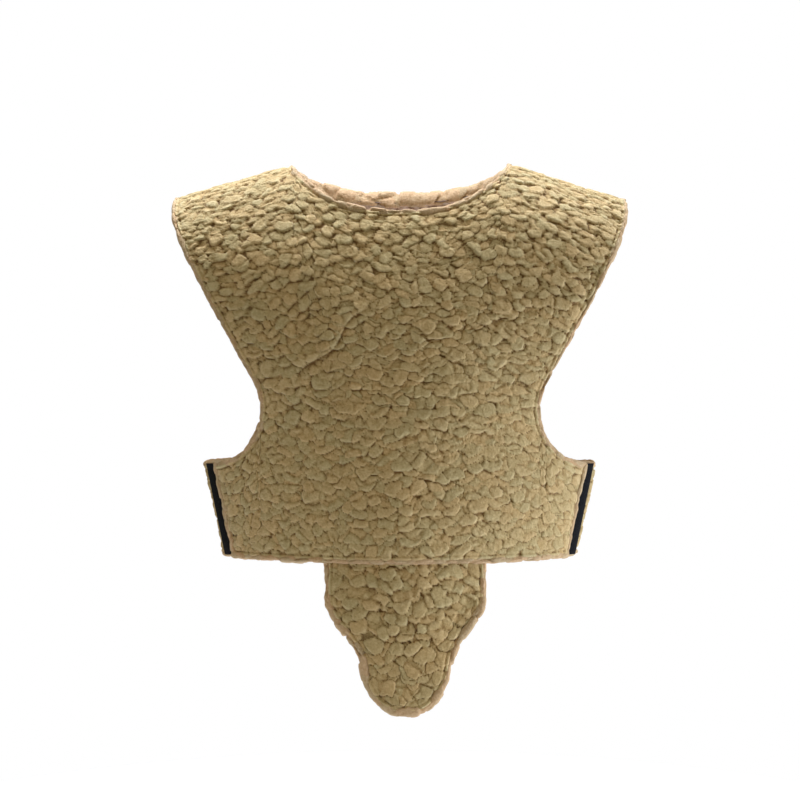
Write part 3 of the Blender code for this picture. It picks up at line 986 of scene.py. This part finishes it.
def edge_rolls(border, width=0.0032, shift=0.0018, swell=0.0024, size=0.0115,
               seed=61, ends=0.0):
    """Turned edges: a lumpy oval tube of pile that wraps every layer of the cloth."""
    around = 30
    turn = np.linspace(0.0, 2.0 * math.pi, around, endpoint=False)[None, :]
    tall = (border.deep / 2.0)[:, None]
    cos, sin = np.cos(turn), np.sin(turn)
    reach = (np.abs(cos) ** 2.4 + np.abs(sin) ** 2.4) ** (-1.0 / 2.4)
    along = run_length(border.points)
    girth = turn * (width + tall) * 0.6
    across, down = warped(along[:, None] + girth * 0.0, girth, size, size * 0.25, seed)
    rise, clear, tint = layered(across, down, size, size * 0.85, seed, 0.0)
    fade = 0.35 + 0.65 * smooth(np.minimum(turn, 2.0 * math.pi - turn) / 0.5)
    lift = (rise - 0.7) * swell - 0.0003 * (1.0 - clear)
    lift = np.maximum(lift + 0.0005 * noise(across, down, 0.004, seed + 3), -0.0012) * fade
    from_ends = np.minimum(along, along[-1] - along)
    sunk = border.deep / 2.0 + ends * (1.0 - smooth(from_ends / 0.012))
    centre = border.points - border.out * shift - border.normals * sunk[:, None]
    direction = (-cos[..., None] * border.out[:, None] * width
                 + sin[..., None] * border.normals[:, None] * tall[..., None])
    rings = centre[:, None] + direction * reach[..., None] + unit(direction) * lift[..., None]
    # Painted shade and light on the roll: crevices darker, crests paler.
    crest_light = cavity_shading_of(lift, quads(closed_rings(numbered(rings))), swell * 1.3, 6)
    return tube_pieces(border, centre, rings, EDGE, {"crest_light": crest_light, "tint": tint}, "edge")


def seam_threads(border, depth):
    """A row of stitches: a thread that dips into the pile between its visible arcs; its dark
    colour is partly the thread's own and partly painted shade for the seam's shadow line.
    """
    around = 6
    along = run_length(border.points)
    wave = np.abs(np.sin(along * math.pi / STITCH_LENGTH)) ** 0.5
    centre = (border.points - border.out * SEAM_INSET
              + border.normals * (depth + 0.0010 * wave)[:, None])
    turn = np.linspace(0.0, 2.0 * math.pi, around, endpoint=False)[None, :, None]
    direction = np.cos(turn) * border.out[:, None] + np.sin(turn) * border.normals[:, None]
    rings = centre[:, None] + direction * THREAD_RADIUS
    return tube_pieces(border, centre, rings, SEAM_SHADE_THREAD, {}, "stitches")


def panel_border(cloth, word, step):
    """Round a side's free edge: armhole, wing, hem, wing and armhole again."""
    border = Border(step)
    panel = cloth.patches[f"{word}_panel"]
    left, right = (cloth.patches[f"{word}_wing_{hand_word}"] for hand_word, _ in HANDS)
    reach = 5
    rows = slice(0, UPPER_ROWS + 1)

    def wing_runs(wing):
        runs = ((wing[0], wing[reach]), (wing[1:, -1], wing[1:, -reach]),
                (wing[-1, -2::-1], wing[-reach, -2::-1]))
        return [np.concatenate([run[k] for run in runs]) for k in range(2)]

    stretches = (("armhole_left", (panel[rows, 0], panel[rows, reach]), PANEL_LINING, 1),
                 ("wing_left", wing_runs(left), WING_LINING, 1),
                 ("hem", (panel[-1], panel[-reach]), PANEL_LINING, 1),
                 ("wing_right", wing_runs(right), WING_LINING, -1),
                 ("armhole_right", (panel[rows, -1], panel[rows, -reach]), PANEL_LINING, -1))
    for name, (ids, inner_ids), lining, way in stretches:
        border.add_cloth(f"{word}_{name}", cloth, ids[::way], inner_ids[::way], lining[1])
    return border.finish()


def neck_border(cloth, word, step):
    border = Border(step)
    panel = cloth.patches[f"{word}_panel"]
    ring = slice(RIDGE_COLUMNS, RIDGE_COLUMNS + 2 * NECK_COLUMNS + 1)
    border.add_cloth(f"{word}_neck", cloth, panel[0, ring], panel[6, ring], PANEL_LINING[1])
    return border.finish()


def place_edge_piece(piece, name):
    """Hang an edge or a seam with the part of the cloth that it is sewn to."""
    if name.startswith("front_wing"):
        place_cloth_piece(piece, name)
    elif name.startswith("front") or name.startswith("back_wing") or name == "back_hem":
        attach(piece, name.partition("_")[0])
    else:
        place_cloth_piece(piece, "back_panel")


def build_edges(cloth):
    """Rolls of pile and rows of stitches along the free edges of both sides."""
    for word, _ in SIDES:
        for outline, roll in ((panel_border, {}), (neck_border, NECK_ROLL)):
            for name, piece in edge_rolls(outline(cloth, word, ROLL_STEP), **roll).items():
                place_edge_piece(piece, name)
            stitches = seam_threads(outline(cloth, word, STITCH_STEP), PANEL_SEAM_DEPTH)
            for name, piece in stitches.items():
                place_edge_piece(piece, name)
                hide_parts(f"{name}_thread")


# ---- tongue

def tongue_edge(points):
    """How far each point of the tongue lies from its sides and its tip."""
    outline = np.concatenate([points[:, 0], points[-1], points[::-1, -1]])
    return distances(points.reshape(-1, 3), outline).reshape(points.shape[:2])


def tongue_border(points, normals, step):
    border = Border(step)
    reach = 4
    runs = [(points[:, 0], points[-1, 1:-1], points[::-1, -1]),
            (points[:, reach], points[-reach, 1:-1], points[::-1, -reach]),
            (normals[:, 0], normals[-1, 1:-1], normals[::-1, -1])]
    border.add("tongue", *[np.concatenate(run) for run in runs], TONGUE_LINING[1])
    return border.finish()


def hang_tongue(piece):
    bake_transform(piece)


def build_tongue():
    """The shield that hangs from the front hem: pile, lining, turned edge and stitches."""
    points, coordinates = tongue_grid()
    natural = quads(numbered(points))
    faces, normals = natural, vertex_normals(points, natural)
    turned = bool(normals[..., 1].mean() > 0.0)
    if turned:
        faces, normals = faces[:, ::-1], -normals
    edge = tongue_edge(points)
    layers = (("pile", "outer_fleece", OUTER, 1.0, 0.0, 1.16, 1.15, TONGUE_BACKING),
              ("lining", "inner_fleece", INNER, -1.0, 0.8, 1.0, 1.0, TONGUE_LINING[0]))
    for label, slot, material, facing, pressed, size, puff, backing in layers:
        lift, tint = shape_pile(coordinates + (0.31, 0.17), edge, pressed, size, puff)
        # Painted shade and light: crevices darker, crests paler.
        crest_light = cavity_shading_of(lift, faces, 0.0015)
        if facing < 0.0:
            lift = -(TONGUE_LINING[1] + np.maximum(lift, SHORTEST_LINING))
        face = points + normals * lift[..., None]
        flip = turned if facing > 0.0 else not turned
        face_normals = vertex_normals(face, natural[:, ::-1] if flip else natural)
        piece = closed_sheet(f"tongue_{label}", face, points - normals * backing, material,
                             {"crest_light": crest_light, "tint": tint}, face_normals, flip)
        hang_tongue(piece)
        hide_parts(f"tongue_{slot}")
    rolls = edge_rolls(tongue_border(points, normals, ROLL_STEP), **TONGUE_ROLL)
    hang_tongue(rolls["tongue"])
    stitches = seam_threads(tongue_border(points, normals, STITCH_STEP), TONGUE_SEAM_DEPTH)
    hang_tongue(stitches["tongue"])
    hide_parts("tongue_thread")


# ---- closure tapes

def tape_grid(side, hand, first_depth, last_depth, inset, columns):
    """Points and outward normals of a tape that follows a wing from depth to depth."""
    z = np.linspace(BAND_TOP, -HEM_FALL + HEM_CLEARANCE, TAPE_ROWS + 1)[:, None]
    share = np.linspace(0.0, 1.0, columns + 1)[None, :]
    angle = blend(angle_at_depth(first_depth, z), angle_at_depth(last_depth, z), share)
    z = z + angle * 0.0
    points = wing_path(side, angle, z)
    step = 0.002
    across = wing_path(side, angle + step, z) - wing_path(side, angle - step, z)
    down = wing_path(side, angle, z + step) - wing_path(side, angle, z - step)
    normals = unit(np.cross(across, down))
    normals *= np.sign(normals[..., :1])
    points = points - normals * inset
    mirror = np.array([hand, 1.0, 1.0])
    return points * mirror, normals * mirror


def tape_ground(name, points, normals, thickness):
    """A woven tape: two faces with a rounded selvedge all round."""
    turned = (vertex_normals(points, quads(numbered(points))) * normals).sum() < 0.0
    rows, columns = points.shape[:2]
    down = np.minimum(np.arange(rows), np.arange(rows)[::-1])[:, None]
    across = np.minimum(np.arange(columns), np.arange(columns)[::-1])[None, :]
    soft = 1.0 - 0.35 * (np.minimum(down, across) == 0)
    half = thickness / 2.0 * soft[..., None]
    middle = points - normals * thickness / 2.0
    return closed_sheet(name, middle + normals * half, middle - normals * half, TAPE, {},
                        normals, turned)


def tape_field(name, points, normals, height, hooked):
    """Rows of hooks or small loops on a tape: hooks on its inner face, loops on its outer."""
    rows, columns = points.shape[:2]
    draws = np.random.default_rng(91).random((rows, columns, 3))
    pitch, sides, joints = 0.0016, 3, 6
    bend = np.linspace(0.0, 1.0, joints)
    keep = (slice(2, rows - 2), slice(2, columns - 2))
    base = points[keep].reshape(-1, 3)
    up = normals[keep].reshape(-1, 3) * (-1.0 if hooked else 1.0)
    level = np.array([0.0, 0.0, 1.0])
    side = unit(np.cross(up, level))
    turn = (draws[keep].reshape(-1, 3)[:, :1] - 0.5) * (0.5 if hooked else 2.4)
    lead = np.cos(turn) * level + np.sin(turn) * side
    swing = bend * math.pi * (0.80 if hooked else 1.0)
    out = (1.0 - np.cos(swing)) * pitch * (0.30 if hooked else 0.42)
    tall = np.sin(swing) * height
    if hooked:
        tall = np.where(bend < 0.5, tall, 0.7 * tall + 0.3 * height)
    path = (base[:, None] + up[:, None] * tall[None, :, None]
            + lead[:, None] * out[None, :, None])
    tangent = unit(np.gradient(path, axis=1))
    first = unit(np.cross(tangent, side[:, None] + up[:, None] * 0.1))
    second = np.cross(tangent, first)
    angle = (np.arange(sides) * 2.0 * math.pi / sides)[:, None]
    spoke = np.cos(angle) * first[:, :, None] + np.sin(angle) * second[:, :, None]
    rings = path[:, :, None] + (0.00011 if hooked else 0.00008) * spoke
    ids = np.arange(len(base) * joints * sides).reshape(len(base), joints, sides)
    ring_ids = closed_rings(ids)
    walls = np.stack([ring_ids[:, :-1, :-1], ring_ids[:, :-1, 1:], ring_ids[:, 1:, 1:],
                      ring_ids[:, 1:, :-1]], axis=-1).reshape(-1, 4)
    caps = np.concatenate([ids[:, 0, ::-1], ids[:, -1]])
    return make_piece(name, rings.reshape(-1, 3), [walls, caps], TAPE_FACE)


def finish_tape(ground, field, wing):
    """Sew a tape to its wing, and hide the solid that it replaces."""
    for piece in (ground, field):
        place_cloth_piece(piece, wing)
    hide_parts(ground.name.removesuffix("_ground"))


def build_tapes():
    """Hook tape inside each front wing, and loop tape outside each back wing."""
    for hand_word, hand in HANDS:
        name, wing = f"hook_tape_{hand_word}", f"front_wing_{hand_word}"
        points, normals = tape_grid(FRONT, hand, HOOK_TAPE_START, WING_END[FRONT] + TAPE_MARGIN,
                                    WING_CAD_DEPTH + TAPE_GAP, HOOK_TAPE_COLUMNS)
        ground = tape_ground(f"{name}_ground", points, normals, TAPE_THICKNESS * 0.75)
        field = tape_field(f"{name}_hooks", points - normals * TAPE_THICKNESS * 0.7, normals,
                           0.0009, True)
        finish_tape(ground, field, wing)
        name, wing = f"loop_tape_{hand_word}", f"back_wing_{hand_word}"
        points, normals = tape_grid(BACK, hand, TAPE_SELVEDGE - LOOP_TAPE_END, -LOOP_TAPE_START,
                                    -TAPE_GAP - TAPE_THICKNESS, LOOP_TAPE_COLUMNS)
        ground = tape_ground(f"{name}_ground", points, normals, TAPE_THICKNESS)
        field = tape_field(f"{name}_loops", points - normals * 0.0001, normals, 0.0006, False)
        finish_tape(ground, field, wing)


def build_vest():
    cloth = Cloth()
    build_outer(cloth)
    build_lining(cloth)
    build_edges(cloth)
    build_tongue()
    build_tapes()


build_camera()
build_light()
build_floor()
build_vest()
